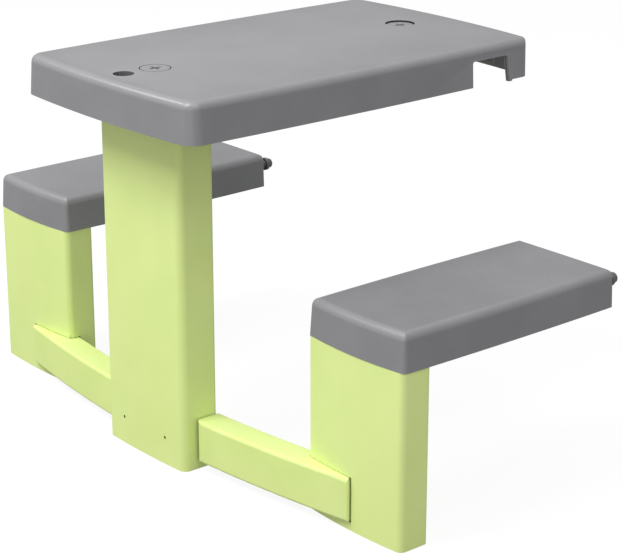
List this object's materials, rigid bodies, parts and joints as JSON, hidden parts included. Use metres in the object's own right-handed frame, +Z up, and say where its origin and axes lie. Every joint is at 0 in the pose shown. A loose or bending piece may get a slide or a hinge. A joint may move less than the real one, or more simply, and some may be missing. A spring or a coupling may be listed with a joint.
{
  "type": "kids picnic table for a playhouse wall",
  "caption": "Child's moulded plastic picnic table with a seat on each side; it stands on hollow posts in front and hooks over a playhouse wall at the back.",
  "frame": {"origin": "on the floor, under the middle of the table top's length and width", "axes": "+X to the right as seen from the free front end, +Y from the free front end towards the playhouse wall, +Z up"},
  "size_m": [0.8116, 0.544, 0.48],
  "materials": {
    "grey_plastic": "blow or injection moulded polypropylene, fine matt texture, mid grey",
    "green_plastic": "moulded polypropylene, satin, pale lime green",
    "bolt_plastic": "moulded nylon, matt, the same mid grey as the table top",
    "peg_plastic": "moulded nylon, satin, dark grey",
    "zinc_steel": "zinc-plated steel"
  },
  "bodies": {
    "root": {"tabletop": "grey_plastic", "tabletop_post_bolt": "bolt_plastic", "tabletop_wall_bolt": "bolt_plastic", "centre_post": "green_plastic", "left_beam": "green_plastic", "right_beam": "green_plastic", "centre_post_beam_screws": "zinc_steel", "left_seat_post": "green_plastic", "right_seat_post": "green_plastic", "left_beam_end_screws": "zinc_steel", "right_beam_end_screws": "zinc_steel", "left_seat": "grey_plastic", "right_seat": "grey_plastic", "left_seat_screws": "zinc_steel", "right_seat_screws": "zinc_steel", "left_seat_pegs": "peg_plastic", "right_seat_pegs": "peg_plastic"}
  },
  "joints": []
}
